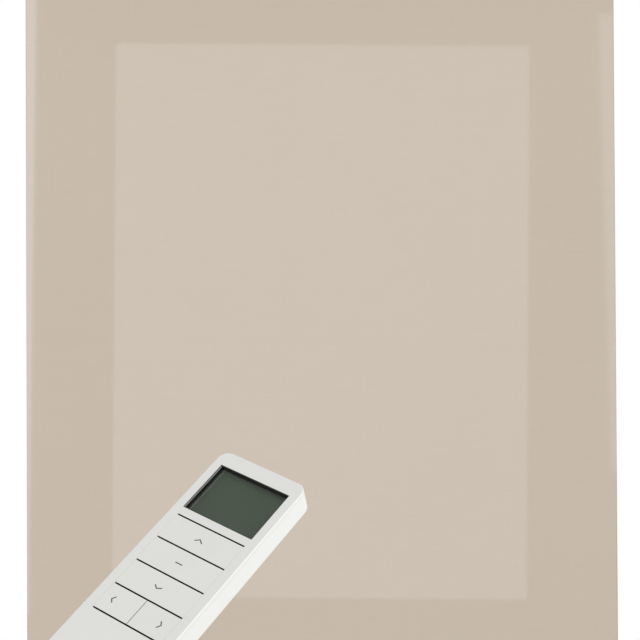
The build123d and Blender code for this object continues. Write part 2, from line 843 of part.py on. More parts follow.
chamber_top = channel_height - channel_radius - rail_wall
chamber_bottom = -rail_height / 2 + rail_wall
chamber_middle = (chamber_top + chamber_bottom) / 2
chamber_height = chamber_top - chamber_bottom
with BuildPart() as bottom_rail:
    with BuildSketch(rail_plane(-fabric_width / 2)):
        RectangleRounded(rail_width, rail_height, rail_corner)
        with Locations((0, channel_height)):
            Circle(channel_radius, mode=Mode.SUBTRACT)
        with Locations((0, rail_height / 2)):
            Rectangle(rail_slot, 2 * (rail_height / 2 - channel_height), mode=Mode.SUBTRACT)
        with Locations((0, chamber_middle)):
            RectangleRounded(
                rail_width - 2 * rail_wall, chamber_height, rail_corner - rail_wall, mode=Mode.SUBTRACT
            )
    extrude(amount=fabric_width)
keep(bottom_rail.part, "bottom_rail")

with BuildPart() as rail_spline:
    with BuildSketch(across(-fabric_width / 2, sheet_middle, spline_height)):
        Circle(spline_radius)
    extrude(amount=fabric_width)
keep(rail_spline.part, "rail_spline")


def rail_end_cap():
    with BuildPart() as cap:
        with BuildSketch(rail_plane(fabric_width / 2)):
            RectangleRounded(rail_width, rail_height, rail_corner)
        extrude(amount=rail_cap)
        fillet(cap.faces().sort_by(Axis.X)[-1].edges(), rail_cap_round)
        with BuildSketch(rail_plane(fabric_width / 2)):
            with Locations((0, chamber_middle)):
                RectangleRounded(
                    rail_width - 2 * (rail_wall + fit_gap),
                    chamber_height - 2 * fit_gap,
                    rail_corner - rail_wall - fit_gap,
                )
        extrude(amount=-rail_plug)
    return cap.part


keep(rail_end_cap(), "right_end_cap")
keep(mirror(rail_end_cap(), about=Plane.YZ), "left_end_cap")

# Handset: its plane has its origin at the middle of the face's top edge, with the face at height 0
face = Plane(origin=handset_top_centre, x_dir=handset_across, z_dir=handset_outward)
outward = Axis(handset_top_centre, handset_outward)
middle_down = -handset_length / 2


def lengthways(x, down, depth):
    """Plane square to the handset's length; its normal points to the top, and its y goes deeper."""
    origin = face.from_local_coords((x, -down, -depth))
    return Plane(origin=origin, x_dir=face.x_dir, z_dir=face.y_dir)


def handset_outline(inset):
    with Locations((0, middle_down)):
        RectangleRounded(handset_width - 2 * inset, handset_length - 2 * inset, handset_corner - inset)


def screen_rectangle(margin, mode=Mode.ADD):
    with Locations((0, -screen_top - screen_height / 2)):
        Rectangle(screen_width + 2 * margin, screen_height + 2 * margin, mode=mode)


with BuildPart() as front_shell:
    with BuildSketch(face):
        handset_outline(0)
    extrude(amount=-handset_split)
    chamfer(front_shell.faces().sort_by(outward)[-1].edges(), handset_chamfer)
    with BuildSketch(face.offset(-handset_split)):
        handset_outline(handset_wall)
    extrude(amount=handset_split - face_plate, mode=Mode.SUBTRACT)
    with BuildSketch(face.offset(-key_rim_plate)):
        with Locations((0, key_field_middle)):
            Rectangle(key_field_opening + 2 * key_rim_width, key_field_height + 2 * key_rim_width)
    extrude(amount=key_rim_plate - face_plate)
    with BuildSketch(face):
        screen_rectangle(0)
        with Locations((0, key_field_middle)):
            Rectangle(key_field_opening, key_field_height)
    extrude(amount=-key_rim_plate, mode=Mode.SUBTRACT)
    with BuildSketch(face.offset(-face_plate)):
        with Locations((0, -post_y)):
            with GridLocations(2 * post_x, 0, 2, 1):
                Circle(post_radius)
    extrude(amount=-(handset_thickness - 2 * handset_wall - face_plate))
    with BuildSketch(face.offset(-handset_thickness)):
        with Locations((0, -post_y)):
            with GridLocations(2 * post_x, 0, 2, 1):
                Circle(handset_screw_radius + running_gap)
    extrude(amount=handset_wall + handset_screw_length + fit_gap, mode=Mode.SUBTRACT)
keep(front_shell.part, "front_shell")

with BuildPart() as back_form:
    with BuildSketch(face.offset(-handset_thickness)):
        handset_outline(0)
    extrude(amount=handset_thickness - handset_split)
    fillet(back_form.faces().sort_by(outward)[0].edges(), handset_back_radius)

with BuildPart() as back_shell:
    add(back_form.part)
    with BuildSketch(face.offset(-handset_thickness + handset_wall)):
        handset_outline(handset_wall)
    extrude(amount=handset_thickness - handset_split, mode=Mode.SUBTRACT)
    with BuildSketch(face.offset(-handset_thickness + handset_wall)):
        with Locations((0, -post_y)):
            with GridLocations(2 * post_x, 0, 2, 1):
                Circle(back_boss_radius)
    extrude(amount=handset_wall - fit_gap)
    with BuildSketch(face.offset(-handset_thickness)):
        with Locations((0, -post_y)):
            with GridLocations(2 * post_x, 0, 2, 1):
                Circle(handset_screw_head + fit_gap)
    extrude(amount=handset_wall, mode=Mode.SUBTRACT)
    with BuildSketch(face.offset(-handset_thickness)):
        with Locations((0, -post_y)):
            with GridLocations(2 * post_x, 0, 2, 1):
                Circle(handset_screw_radius + running_gap)
    extrude(amount=2 * handset_wall, mode=Mode.SUBTRACT)
    with BuildSketch(face.offset(-handset_thickness)):
        with Locations((0, -(door_start + handset_length) / 2)):
            Rectangle(2 * door_half_width, handset_length - door_start)
    extrude(amount=handset_wall, mode=Mode.SUBTRACT)
keep(back_shell.part, "back_shell")

with BuildPart() as battery_door:
    add(back_form.part)
    with BuildSketch(face.offset(-handset_thickness)):
        with Locations((0, -(door_start + door_gap + handset_length) / 2)):
            Rectangle(2 * (door_half_width - door_gap), handset_length - door_start - door_gap)
    extrude(amount=handset_wall - fit_gap, mode=Mode.INTERSECT)
keep(battery_door.part, "battery_door")

with BuildPart() as handset_screws:
    with BuildSketch(face.offset(-handset_thickness + fit_gap)):
        with Locations((0, -post_y)):
            with GridLocations(2 * post_x, 0, 2, 1):
                Circle(handset_screw_head)
    extrude(amount=handset_wall - 2 * fit_gap)
    with BuildSketch(face.offset(-handset_thickness + fit_gap)):
        with Locations((0, -post_y)):
            with GridLocations(2 * post_x, 0, 2, 1):
                Circle(handset_screw_radius)
    extrude(amount=handset_wall + handset_screw_length)
keep(handset_screws.part, "handset_screws")

# Screen: a dark gasket lines the opening, and a clear window is glued behind it, over the display module
window_top = face_plate + running_gap
module_top = window_top + window_thickness + running_gap
with BuildPart() as screen_gasket:
    with BuildSketch(face.offset(-gasket_depth)):
        screen_rectangle(0)
        screen_rectangle(-gasket_wall, Mode.SUBTRACT)
    extrude(amount=gasket_depth - face_plate)
keep(screen_gasket.part, "screen_gasket")

with BuildPart() as screen_window:
    with BuildSketch(face.offset(-window_top)):
        screen_rectangle(window_lap)
    extrude(amount=-window_thickness)
keep(screen_window.part, "screen_window")

with BuildPart() as screen_module:
    with BuildSketch(face.offset(-module_top)):
        screen_rectangle(window_lap / 2)
    extrude(amount=-module_thickness)
keep(screen_module.part, "screen_module")

# Keys: three full-width keys and a pair, with a stem under each
half_key = (key_field_width - key_split) / 2
key_offset = (half_key + key_split) / 2
key_layout = {
    "up_key": (0, 0, key_field_width),
    "stop_key": (0, 1, key_field_width),
    "down_key": (0, 2, key_field_width),
    "previous_key": (-key_offset, 3, half_key),
    "next_key": (key_offset, 3, half_key),
}


def key_centre(name):
    x, row, _ = key_layout[name]
    return (x, -key_field_top - (row + 0.5) * key_pitch)


def key(name):
    width = key_layout[name][2]
    with BuildPart() as cap:
        with BuildSketch(face):
            with Locations(key_centre(name)):
                Rectangle(width, key_pitch - groove_width)
        extrude(amount=-key_thickness)
        with BuildSketch(face.offset(-key_thickness)):
            with Locations(key_centre(name)):
                Circle(key_stem_radius)
        extrude(amount=key_thickness - key_stem_end)
    return cap.part


for key_name in key_layout:
    keep(key(key_name), key_name)

with BuildPart() as keypad_mat:
    with BuildSketch(face.offset(-mat_top)):
        with Locations((0, key_field_middle)):
            Rectangle(key_field_opening + 2 * key_rim_width, key_field_height + 2 * key_rim_width)
        for key_name in key_layout:
            with Locations(key_centre(key_name)):
                Circle(key_stem_radius + mat_hole_gap, mode=Mode.SUBTRACT)
    extrude(amount=-mat_thickness)
keep(keypad_mat.part, "keypad_mat")

with BuildPart() as handset_board:
    with BuildSketch(face.offset(-board_depth)):
        with Locations((0, -(handset_board_top + handset_board_bottom) / 2)):
            RectangleRounded(
                handset_board_width, handset_board_bottom - handset_board_top, handset_corner - handset_wall
            )
    extrude(amount=-handset_board_thickness)
    with BuildSketch(face.offset(-board_depth)):
        for key_name in key_layout:
            with Locations(key_centre(key_name)):
                Circle(dome_radius)
    extrude(amount=dome_height)
keep(handset_board.part, "handset_board")

# Handset cells, side by side, and their spring contacts
small_cell_x = small_cell_radius + small_cell_gap / 2
with BuildPart() as handset_cells:
    for side in (-1, 1):
        with BuildSketch(lengthways(side * small_cell_x, small_cell_start, small_cell_depth)):
            Circle(small_cell_radius)
        extrude(amount=-small_cell_length)
keep(handset_cells.part, "handset_cells")

contact_width = 4 * small_cell_radius + small_cell_gap
with BuildPart() as battery_contacts:
    with BuildSketch(lengthways(0, small_cell_start - small_cell_gap, small_cell_depth)):
        Rectangle(contact_width, contact_height)
    extrude(amount=contact_thickness)
    with BuildSketch(lengthways(0, far_contact, small_cell_depth)):
        Rectangle(contact_width, contact_height)
    extrude(amount=-contact_thickness)
    with BuildSketch(lengthways(0, far_contact, small_cell_depth)):
        with GridLocations(2 * small_cell_x, 0, 2, 1):
            Circle(contact_stub_radius)
    extrude(amount=contact_stub)
keep(battery_contacts.part, "battery_contacts")
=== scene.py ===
"""Looks of the motorized roller blind and its handset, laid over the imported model.

Everything is in metres in the model's own frame: +X to the right along the
roller, +Y into the wall and +Z up, from the middle of the wall-screw holes.
"""
import json
from math import cos, pi, radians, sin

import bmesh
import bpy
from mathutils import Matrix, Vector


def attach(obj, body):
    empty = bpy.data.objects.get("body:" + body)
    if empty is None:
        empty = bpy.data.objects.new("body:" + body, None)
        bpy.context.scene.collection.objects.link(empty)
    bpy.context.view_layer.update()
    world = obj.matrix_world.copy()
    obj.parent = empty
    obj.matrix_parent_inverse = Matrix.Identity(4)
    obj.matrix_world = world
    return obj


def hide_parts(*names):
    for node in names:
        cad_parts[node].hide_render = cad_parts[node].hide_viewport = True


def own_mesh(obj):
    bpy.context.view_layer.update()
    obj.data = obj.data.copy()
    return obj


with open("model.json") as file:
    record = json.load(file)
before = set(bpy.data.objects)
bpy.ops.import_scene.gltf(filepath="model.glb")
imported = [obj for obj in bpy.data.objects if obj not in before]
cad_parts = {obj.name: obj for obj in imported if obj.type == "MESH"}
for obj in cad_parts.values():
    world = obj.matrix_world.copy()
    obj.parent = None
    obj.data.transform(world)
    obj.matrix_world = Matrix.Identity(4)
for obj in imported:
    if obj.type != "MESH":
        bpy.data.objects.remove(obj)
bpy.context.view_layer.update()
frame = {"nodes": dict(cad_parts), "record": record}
mm = 0.001

# Camera, fitted to the handset's outline and the fabric's edges
camera_place = Vector((-1.05, -1390.28, -417.27)) * mm
camera_roll = radians(0.2774)
camera_rise = radians(0.5824)
camera_lens = 75.9375
camera_sensor = 36.0
camera_near, camera_far = 0.01, 30

# Light
room_light = 0.77
key_strength = 1.382
key_direction = Vector((0.80, -0.60, 0.0))
key_softness = radians(20)
window_left, window_right = -210.6 * mm, 210.6 * mm
window_top, window_bottom = -122.3 * mm, -685.9 * mm
window_lean = radians(0.62)  # clockwise from the room
window_gap = 1.4 * mm  # middle of the fabric to the lamp
window_power = 0.30
window_colour = (0.62, 0.80, 1.0)

# Light that leaks past the fabric's edges: heights of its ends, its inner edge at each, and its gap behind
glow_width = 16 * mm
left_glow = {
    "ends": (-55 * mm, -700 * mm), "inner": (288.7 * mm, 298.8 * mm), "gap": 2 * mm, "power": 0.025,
}
right_glow = {
    "ends": (-92 * mm, -560 * mm), "inner": (284.85 * mm, 295.6 * mm), "gap": 4 * mm, "power": 0.0107,
}

# Floor
floor_height = -1.35
floor_half_width = 1.8
floor_front, floor_back = -2.4, 1.0
floor_patch, floor_grain = 0.4, 0.1
floor_shades, floor_gloss = (0.98, 1.02), (0.7, 0.85)

# Fabric
roller_axis = Vector((0, -38, 0)) * mm
fabric_half_width = 300 * mm
sheet_distance = 22.35 * mm  # roller axis to the middle of the hanging fabric
sheet_top, sheet_bottom = -0.3 * mm, -835.8 * mm
ripple = 0.25 * mm
ripple_waves = ((3.1, 2.3, 1.0), (7.3, -1.7, 0.5))  # half-waves across, drift down the sheet, strength
ripple_total = sum(wave[-1] for wave in ripple_waves)
cut_edge = 0.5 * mm
sheet_columns, sheet_rows = 120, 168
thread_pitch = 0.42 * mm
fabric_colour = (0.612, 0.524, 0.431)
fabric_through = (0.59, 0.524, 0.45)  # its tint where light comes through
fabric_share = 0.3  # of the light, that goes through
wound_turns = 6
wound_inner = 19.35 * mm
wound_thickness = 0.42 * mm
steps_per_turn = 72
end_normal = 0.5  # a face whose normal runs further along the roller than this is an end

# Pin spring: the line of its wire
spring_start, spring_end = -300.1 * mm, -266.6 * mm
spring_radius, spring_wire = 5.5 * mm, 0.5 * mm
spring_turns = 9
spring_steps, wire_sides = 40, 10  # steps in each turn, sides of the wire

# Handset: places on its face, from the middle of the top edge
handset_origin = Vector((-27.21, -749.44, -480.77)) * mm
handset_across = Vector((0.80957, -0.49824, -0.31042))
handset_outward = Vector((-0.12991, -0.66775, 0.73296))
handset_up = handset_outward.cross(handset_across)
openings_half_width = 19.65 * mm
openings_top, openings_bottom = 7 * mm, 103 * mm
openings_depth = 5 * mm  # more than any of their walls
painted_shading_start = 0.05 * mm  # face to where the painted shade on an opening's wall begins
painted_shading_fade = 0.08 * mm
# painted shade: near-black laid on the openings' walls below the rim, for the shade down in the openings
painted_wall_shade = (0.02, 0.02, 0.02)
side_gap_outer = 20 * mm  # the gaps beside the keys lie between the openings' half width and this
# painted light: the walls of the gaps beside the keys are lightened so that their shade does not show
painted_gap_light = (0.99, 0.99, 0.97)
lip_side = 19.85 * mm  # left lip of the screen's gasket, greyed as painted light where light falls on that wall
lip_top, lip_depth = 0.2 * mm, 1.02 * mm
# painted light: grey on the lip, with the rubber's near-black along its top
painted_lip_light, lip_top_colour = (0.27, 0.27, 0.265), (0.05, 0.05, 0.048)
seam_top, seam_bottom = 0.85 * mm, 1.9 * mm  # painted shade line round the handset's sides, as a shallow groove would cast; from its face
seam_soft, seam_shade = 0.3 * mm, 0.93
panel_line, panel_line_width = 18.1 * mm, 0.7 * mm  # painted highlight along the left edge of the panel
painted_panel_highlight = (0.12, 0.125, 0.115)
panel_top_line, panel_top_line_width = 9.7 * mm, 1.3 * mm  # fainter painted highlight along its top edge
panel_top_strength = 0.45
mask_depth, mask_thickness = 2.46 * mm, 0.03 * mm
mask_inner_half_width, mask_outer_half_width = 19.15 * mm, 20.8 * mm
mask_inner_top, mask_inner_bottom = 8.8 * mm, 37.2 * mm
mask_outer_top, mask_outer_bottom = 7.9 * mm, 38.5 * mm
print_width = 0.55 * mm
print_height = 0.03 * mm
cap_steps = 6


# Sockets of a mix node, for colours and for numbers
colour_factor, first_colour, second_colour, mixed_colour = 0, 6, 7, 2
number_factor, first_number, second_number, mixed_number = 0, 2, 3, 0

edge_cosine = 0.8  # between the rounded and the flat normal, where the mask of an edge is full


# Node helpers
def new_material(name):
    material = bpy.data.materials.new(name)
    material.use_nodes = True
    return material, material.node_tree, material.node_tree.nodes["Principled BSDF"]


def add(tree, kind, inputs=None, **settings):
    node = tree.nodes.new(kind)
    for setting, value in settings.items():
        setattr(node, setting, value)
    fill(tree, node, inputs or {})
    return node


def fill(tree, node, inputs):
    """An input given as a socket is joined to the node, and any other value is set on it."""
    for key, value in inputs.items():
        if isinstance(value, bpy.types.NodeSocket):
            tree.links.new(value, node.inputs[key])
        else:
            node.inputs[key].default_value = value


def show(tree, shader, surface):
    """Shows the surface in place of the plain shader."""
    tree.nodes.remove(shader)
    tree.links.new(surface.outputs[0], tree.nodes["Material Output"].inputs["Surface"])


def maths(tree, operation, first, second=0.0):
    return add(tree, "ShaderNodeMath", {0: first, 1: second}, operation=operation).outputs[0]


def product(tree, *factors):
    total = factors[0]
    for factor in factors[1:]:
        total = maths(tree, "MULTIPLY", total, factor)
    return total


def between(tree, value, low, high):
    """A value from 0 to 1, rescaled to run from low to high."""
    return add(tree, "ShaderNodeMapRange", {"Value": value, "To Min": low, "To Max": high}).outputs[0]


def rising(tree, value, start, end):
    """0 before the start and 1 after the end."""
    return add(tree, "ShaderNodeMapRange", {"Value": value, "From Min": start, "From Max": end}).outputs[0]


def within(tree, value, low, high):
    """1 between the two limits, and 0 elsewhere."""
    return product(tree, maths(tree, "GREATER_THAN", value, low), maths(tree, "LESS_THAN", value, high))


def place(tree, stretch=(1, 1, 1)):
    """The point on the surface in the piece's own metres, stretched for streaks."""
    point = add(tree, "ShaderNodeTexCoord").outputs["Object"]
    return add(tree, "ShaderNodeVectorMath", {0: point, 1: stretch}, operation="MULTIPLY").outputs[0]


def noise(tree, point, size, detail=3.0, roughness=0.5):
    inputs = {"Vector": point, "Scale": 1 / size, "Detail": detail, "Roughness": roughness}
    return add(tree, "ShaderNodeTexNoise", inputs).outputs["Fac"]


def cells(tree, point, size, **settings):
    """The distance within a pattern of cells."""
    inputs = {"Vector": point, "Scale": 1 / size}
    return add(tree, "ShaderNodeTexVoronoi", inputs, **settings).outputs["Distance"]


def shade(tree, colour, *factors):
    """The colour, made lighter or darker by factors that lie about 1."""
    total = product(tree, *factors)
    grey = add(tree, "ShaderNodeCombineColor", {0: total, 1: total, 2: total}).outputs[0]
    inputs = {colour_factor: 1.0, first_colour: opaque(colour), second_colour: grey}
    return add(tree, "ShaderNodeMix", inputs, data_type="RGBA", blend_type="MULTIPLY").outputs[mixed_colour]


def blend_colours(tree, factor, first, second):
    inputs = {colour_factor: factor, first_colour: opaque(first), second_colour: opaque(second)}
    return add(tree, "ShaderNodeMix", inputs, data_type="RGBA").outputs[mixed_colour]


def blend_numbers(tree, factor, first, second):
    inputs = {number_factor: factor, first_number: first, second_number: second}
    return add(tree, "ShaderNodeMix", inputs).outputs[mixed_number]


def opaque(colour):
    return colour if isinstance(colour, bpy.types.NodeSocket) else (*colour, 1.0)


def bump(tree, height, distance, normal=None, strength=1.0):
    inputs = {"Height": height, "Distance": distance, "Strength": strength}
    if normal is not None:
        inputs["Normal"] = normal
    return add(tree, "ShaderNodeBump", inputs).outputs[0]


def soft_edges(tree, radius):
    """A normal that rounds the piece's edges, and a mask that is 1 on them."""
    rounded = add(tree, "ShaderNodeBevel", {"Radius": radius}, samples=4).outputs[0]
    flat = add(tree, "ShaderNodeNewGeometry").outputs["Normal"]
    match = add(tree, "ShaderNodeVectorMath", {0: rounded, 1: flat}, operation="DOT_PRODUCT").outputs["Value"]
    return rounded, rising(tree, match, 1.0, edge_cosine)


def on_handset(tree):
    """The place on the handset: across its face, up it and out of it."""
    inputs = {0: place(tree), 1: handset_origin}
    from_origin = add(tree, "ShaderNodeVectorMath", inputs, operation="SUBTRACT").outputs[0]
    return [
        add(tree, "ShaderNodeVectorMath", {0: from_origin, 1: axis}, operation="DOT_PRODUCT").outputs["Value"]
        for axis in (handset_across, handset_up, handset_outward)
    ]


def painted_wall_shade_mask(tree):
    """1 on the walls of the handset's openings below the rim, where painted shade darkens them, and 0
    elsewhere.
    """
    across, up, out = on_handset(tree)
    inside = maths(tree, "LESS_THAN", maths(tree, "ABSOLUTE", across), openings_half_width)
    along_openings = within(tree, up, -openings_bottom, -openings_top)
    below_rim = rising(tree, out, -painted_shading_start, -painted_shading_start - painted_shading_fade)
    above_back = maths(tree, "GREATER_THAN", out, -openings_depth)
    return product(tree, inside, along_openings, below_rim, above_back)


def painted_gap_light_mask(tree):
    """1 on the walls of the narrow gaps beside the keys, which painted light brightens to hide their shade.
    """
    across, _, out = on_handset(tree)
    beside = within(tree, maths(tree, "ABSOLUTE", across), openings_half_width, side_gap_outer)
    return product(tree, beside, within(tree, out, -openings_depth, -painted_shading_start / 2))


def painted_seam_shadow(tree):
    """1 on a band round the handset's sides, just below the chamfer, which painted shade darkens like a
    shallow groove.
    """
    out = on_handset(tree)[2]
    below_top = rising(tree, out, -seam_top + seam_soft / 2, -seam_top - seam_soft / 2)
    above_bottom = rising(tree, out, -seam_bottom - seam_soft / 2, -seam_bottom + seam_soft / 2)
    return product(tree, below_top, above_bottom)


# Moulded plastic: sizes of its marks, the shades that each one runs between, and its gloss
flow_size, cloud_size = 35 * mm, 6 * mm
flow_shades, cloud_shades = (0.975, 1.02), (0.985, 1.012)
# rim shades: the edges made a little lighter, a painted highlight
speckle_shades, painted_rim_highlight = (0.98, 1.02), (1.0, 1.01)
gloss_spread, rim_gloss = 0.06, 0.8
flow_height = 0.05 * mm
plastic_ior = 1.49
glow_reach = 1.5 * mm


def moulded(
    name, colour, roughness=0.45, grain=0.25 * mm, depth=0.008 * mm, edge=0.25 * mm,
    clear=0.0, glow=0.0, painted=False,
):
    """Moulded plastic or rubber: spark-etched grain, faint flow marks, and edges polished by handling, with a
    painted highlight.

    Where painted is set, painted shade darkens the walls of the handset's openings, painted light
    brightens the gaps beside the keys, and a painted shade line runs round the sides.
    """
    material, tree, shader = new_material(name)
    point = place(tree)
    flow = noise(tree, point, flow_size)
    cloud = noise(tree, point, cloud_size, detail=4.0)
    speckle = noise(tree, point, grain, detail=2.0)
    normal, rim = soft_edges(tree, edge)
    tone = shade(
        tree, colour,
        between(tree, flow, *flow_shades),
        between(tree, cloud, *cloud_shades),
        between(tree, speckle, *speckle_shades),
        between(tree, rim, *painted_rim_highlight),
    )
    if painted:
        # Painted shade line round the sides, painted light in the gaps beside the keys, and painted shade on
        # the openings' walls
        tone = shade(tree, tone, between(tree, painted_seam_shadow(tree), 1.0, seam_shade))
        tone = blend_colours(tree, painted_gap_light_mask(tree), tone, painted_gap_light)
        tone = blend_colours(tree, painted_wall_shade_mask(tree), tone, painted_wall_shade)
    gloss = between(tree, cloud, roughness - gloss_spread, roughness + gloss_spread)
    normal = bump(tree, flow, flow_height, normal)
    fill(tree, shader, {
        "Base Color": tone,
        "Roughness": product(tree, gloss, between(tree, rim, 1.0, rim_gloss)),
        "Normal": bump(tree, speckle, depth, normal),
        "IOR": plastic_ior,
        "Subsurface Weight": glow,
        "Subsurface Scale": glow_reach,
        "Transmission Weight": clear,
    })
    return material


# Powder or spray coat
coat_cloud, fleck_size, coat_edge = 22 * mm, 0.3 * mm, 0.35 * mm
coat_cloud_shades, fleck_shades, thin_coat_shades = (0.975, 1.015), (0.975, 1.025), (1.0, 0.94)
coat_smoother, coat_rougher = 0.05, 0.07
peel_height, fleck_height = 0.03 * mm, 0.004 * mm
coat_weight, coat_gloss = 0.25, 0.25


def coated(name, colour, roughness=0.38, peel=1.3 * mm):
    """Powder or spray coat: orange peel, tiny flecks and a thinner coat at the edges."""
    material, tree, shader = new_material(name)
    point = place(tree)
    orange_peel = noise(tree, point, peel, detail=2.0)
    cloud = noise(tree, point, coat_cloud)
    fleck = noise(tree, point, fleck_size, detail=1.0)
    normal, rim = soft_edges(tree, coat_edge)
    tone = shade(
        tree, colour,
        between(tree, cloud, *coat_cloud_shades),
        between(tree, fleck, *fleck_shades),
        between(tree, rim, *thin_coat_shades),
    )
    normal = bump(tree, orange_peel, peel_height, normal)
    fill(tree, shader, {
        "Base Color": tone,
        "Roughness": between(tree, cloud, roughness - coat_smoother, roughness + coat_rougher),
        "Normal": bump(tree, fleck, fleck_height, normal),
        "Coat Weight": coat_weight,
        "Coat Roughness": coat_gloss,
    })
    return material


# Bare metal
scratch_size = 2.2  # times the size of the streaks
scratch_start, scratch_full = 0.70, 0.76
smudge_size, metal_grain, metal_edge = 14 * mm, 0.2 * mm, 0.2 * mm
streak_shades, scratch_shades = (0.88, 1.08), (1.0, 0.85)
smudge_shades, metal_rim_shades = (0.94, 1.04), (1.0, 1.15)
streak_smoother, streak_rougher, smudge_gloss = 0.1, 0.08, (-0.04, 0.07)
streak_height, scratch_height = 0.006 * mm, -0.01 * mm


def metal(name, colour, roughness=0.32, along=(0.02, 1, 1), streak=0.35 * mm, pits=0.0):
    """Drawn, rolled or sintered metal: streaks along one direction, smudges and a few deeper scratches."""
    material, tree, shader = new_material(name)
    point, drawn = place(tree), place(tree, along)
    streaks = noise(tree, drawn, streak, detail=4.0, roughness=0.65)
    scratch = noise(tree, drawn, scratch_size * streak, detail=1.0)
    deep = rising(tree, scratch, scratch_start, scratch_full)
    smudge = noise(tree, point, smudge_size, detail=4.0)
    grain = noise(tree, point, metal_grain, detail=2.0)
    normal, rim = soft_edges(tree, metal_edge)
    tone = shade(
        tree, colour,
        between(tree, streaks, *streak_shades),
        between(tree, deep, *scratch_shades),
        between(tree, smudge, *smudge_shades),
        between(tree, grain, 1.0 - pits, 1.0),
        between(tree, rim, *metal_rim_shades),
    )
    gloss = between(tree, streaks, roughness - streak_smoother, roughness + streak_rougher)
    normal = bump(tree, streaks, streak_height, normal)
    fill(tree, shader, {
        "Base Color": tone,
        "Roughness": maths(tree, "ADD", gloss, between(tree, smudge, *smudge_gloss)),
        "Normal": bump(tree, deep, scratch_height, normal),
        "Metallic": 1.0,
    })
    return material


# Circuit board
pad_spacing, line_spacing, board_weave = 2.2 * mm, 3.1 * mm, 0.5 * mm
pad_edge, line_edge = (0.16, 0.12), (0.10, 0.06)
board_green, line_green, tin = (0.012, 0.13, 0.055), (0.03, 0.24, 0.09), (0.62, 0.60, 0.56)
board_shades, board_gloss = (0.92, 1.06), (0.28, 0.4)
copper_height, board_weave_height = 0.03 * mm, 0.01 * mm


def circuit_board(name):
    """Green solder mask over copper lines, with tinned pads."""
    material, tree, shader = new_material(name)
    point = place(tree)
    pad = rising(tree, cells(tree, point, pad_spacing, distance="CHEBYCHEV"), *pad_edge)
    line = rising(tree, cells(tree, point, line_spacing, feature="DISTANCE_TO_EDGE"), *line_edge)
    weave = noise(tree, point, board_weave, detail=2.0)
    tone = blend_colours(tree, pad, blend_colours(tree, line, board_green, line_green), tin)
    relief = bump(tree, maths(tree, "ADD", line, pad), copper_height)
    fill(tree, shader, {
        "Base Color": shade(tree, tone, between(tree, weave, *board_shades)),
        "Roughness": between(tree, pad, *board_gloss),
        "Metallic": pad,
        "Normal": bump(tree, weave, board_weave_height, relief),
    })
    return material


# Shrink wrap of the cells
wrap_pull, wrap_mark, wrap_cloud = (0.2, 1, 1), 1.5 * mm, 12 * mm
wrap_seam = (0.72, 0.78)
wrap_blue, wrap_seam_blue = (0.03, 0.12, 0.30), (0.12, 0.24, 0.42)
wrap_shades, wrap_gloss = (0.9, 1.08), (0.22, 0.36)
wrap_height, wrap_coat = 0.03 * mm, 0.4


def shrink_wrap(name):
    """Blue shrink wrap over a cell, with stretch lines and a paler seam."""
    material, tree, shader = new_material(name)
    stretch = noise(tree, place(tree, wrap_pull), wrap_mark, detail=3.0)
    cloud = noise(tree, place(tree), wrap_cloud)
    tone = blend_colours(tree, rising(tree, stretch, *wrap_seam), wrap_blue, wrap_seam_blue)
    fill(tree, shader, {
        "Base Color": shade(tree, tone, between(tree, cloud, *wrap_shades)),
        "Roughness": between(tree, cloud, *wrap_gloss),
        "Normal": bump(tree, stretch, wrap_height),
        "Coat Weight": wrap_coat,
    })
    return material


# Screen's panel
panel_cloud, panel_mottle, panel_dot = 7 * mm, 1.6 * mm, 0.45 * mm
panel_green, panel_grey = (0.018, 0.026, 0.021), (0.022, 0.026, 0.018)
mottle_shades, dot_shades = (0.95, 1.05), (0.97, 1.02)
panel_gloss, panel_ior, panel_specular = (0.43, 0.49), 1.5, 1.0
panel_sheen = (0.84, 1.0, 0.77)


def crystal_panel(name):
    """Unlit liquid crystal panel: grey-green and slightly cloudy, with a faint dot grid.

    Its left and top edges carry painted highlights, where the glass edge would catch light.
    """
    material, tree, shader = new_material(name)
    point = place(tree)
    cloud = noise(tree, point, panel_cloud, detail=4.0)
    mottle = noise(tree, point, panel_mottle, detail=2.0)
    tone = shade(
        tree, blend_colours(tree, cloud, panel_green, panel_grey),
        between(tree, mottle, *mottle_shades),
        between(tree, cells(tree, point, panel_dot), *dot_shades),
    )
    across, up, _ = on_handset(tree)
    # Painted highlights along the panel's left and top edges
    from_left = maths(tree, "ABSOLUTE", maths(tree, "ADD", across, panel_line))
    from_top = maths(tree, "ABSOLUTE", maths(tree, "ADD", up, panel_top_line))
    left_line = rising(tree, from_left, panel_line_width, 0.0)
    top_line = product(tree, rising(tree, from_top, panel_top_line_width, 0.0), panel_top_strength)
    painted_highlights = maths(tree, "MAXIMUM", left_line, top_line)
    fill(tree, shader, {
        "Base Color": blend_colours(tree, painted_highlights, tone, painted_panel_highlight),
        "Roughness": between(tree, mottle, *panel_gloss),
        "IOR": panel_ior,
        "Specular IOR Level": panel_specular,
        "Specular Tint": opaque(panel_sheen),
    })
    return material


# Screen's gasket
gasket_black = (0.018, 0.018, 0.016)
gasket_grain, gasket_cloud = 0.3 * mm, 4 * mm
gasket_grain_shades, gasket_cloud_shades = (0.94, 1.06), (0.95, 1.05)
gasket_gloss, gasket_height = (0.65, 0.8), 0.01 * mm


